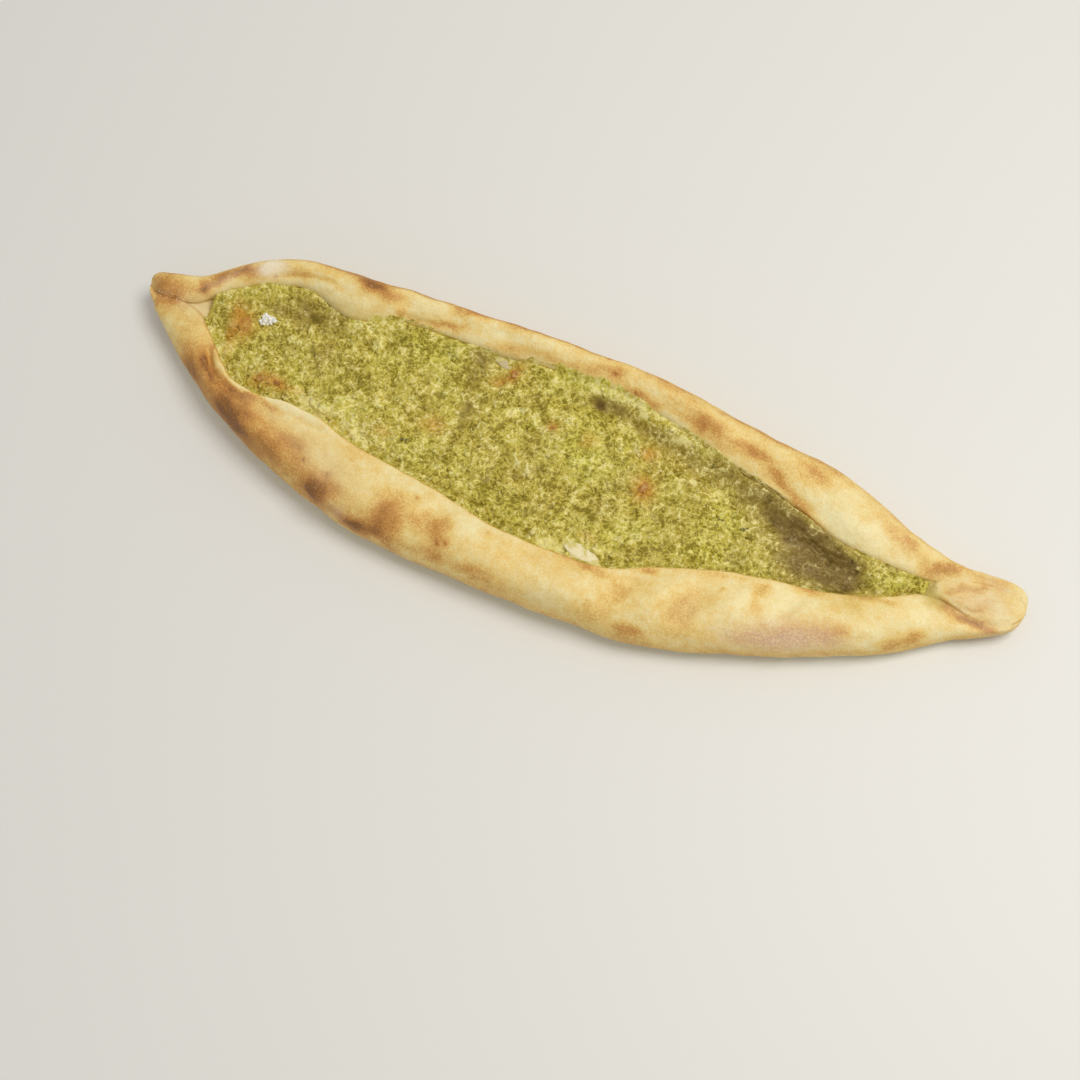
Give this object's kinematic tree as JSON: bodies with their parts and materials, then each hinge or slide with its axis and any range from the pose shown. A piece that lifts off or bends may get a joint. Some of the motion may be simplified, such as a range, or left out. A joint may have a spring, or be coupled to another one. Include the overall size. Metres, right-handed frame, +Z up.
{
  "type": "open boat-shaped sweet borek",
  "caption": "Open boat-shaped baked pastry: a folded dough wall with pinched ends round a moist, grainy green filling.",
  "frame": {"origin": "middle of the pastry's bounding box, on the flat underside that it lies on", "axes": "+X along the length, towards the flat tab; +Y across, towards the far wall whose edge lies at the back in the picture; +Z up"},
  "size_m": [0.3114, 0.0886, 0.0209],
  "materials": {
    "baked_dough": "pale baked dough, browned in patches, with a dusting of flour",
    "green_filling": "moist, finely ground, olive green"
  },
  "bodies": {
    "root": {"dough": "baked_dough", "filling": "green_filling"}
  },
  "joints": []
}
